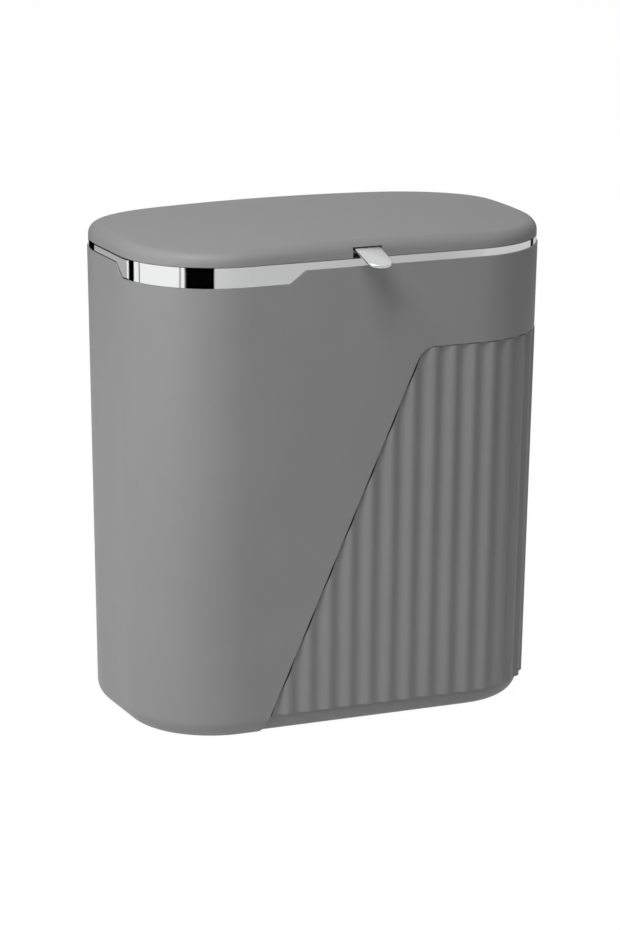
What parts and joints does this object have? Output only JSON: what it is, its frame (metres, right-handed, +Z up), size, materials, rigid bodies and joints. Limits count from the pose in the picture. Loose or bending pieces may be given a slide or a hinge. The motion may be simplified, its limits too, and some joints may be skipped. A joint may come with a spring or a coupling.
{
  "type": "wall-mounted waste bin",
  "caption": "Upright oblong kitchen waste bin with rounded ends, a slanted fluted inlay, a bright rim band and a crowned flip lid with a front tab, hung on a dovetail wall bracket.",
  "frame": {"origin": "centre of the bracket's four screw holes, on the wall plane", "axes": "+X to the right seen from the front, the front faces -Y, the wall is the plane y = 0, +Z up"},
  "size_m": [0.27, 0.1941, 0.3042],
  "materials": {
    "body_plastic": "fine matt",
    "inner_plastic": "smooth",
    "bracket_plastic": "smooth",
    "chrome": "plated plastic",
    "rubber": "soft",
    "foam": "closed-cell foam",
    "steel": "zinc-plated"
  },
  "bodies": {
    "wall": {"wall_bracket": "bracket_plastic", "bracket_pad": "foam"},
    "bin": {"bin_shell": "body_plastic", "fluted_panel": "body_plastic", "hanger_plate": "bracket_plastic", "hanger_screws": "steel", "wall_spacers": "bracket_plastic", "spacer_pads": "rubber", "spacer_screws": "steel", "screw_washers": "steel"},
    "rim": {"rim_frame": "inner_plastic", "chrome_band": "chrome"},
    "lid": {"lid_shell": "body_plastic", "lid_liner": "inner_plastic", "lid_seal": "rubber", "lid_buffers": "rubber", "hinge_pins": "steel", "liner_screws": "steel", "finger_tab": "chrome", "tab_screws": "steel"}
  },
  "joints": [
    {"name": "bin_lift", "type": "slide", "parent": "wall", "child": "bin", "axis": [0, 0, 1], "range_m": [0, 0.044]},
    {"name": "rim_lift", "type": "slide", "parent": "bin", "child": "rim", "axis": [0, 0, 1], "range_m": [0, 0.04]},
    {"name": "lid_hinge", "type": "hinge", "parent": "rim", "child": "lid", "pos_m": [0, -0.01585, 0.0792], "axis": [-1, 0, 0], "range_deg": [0, 92]}
  ]
}
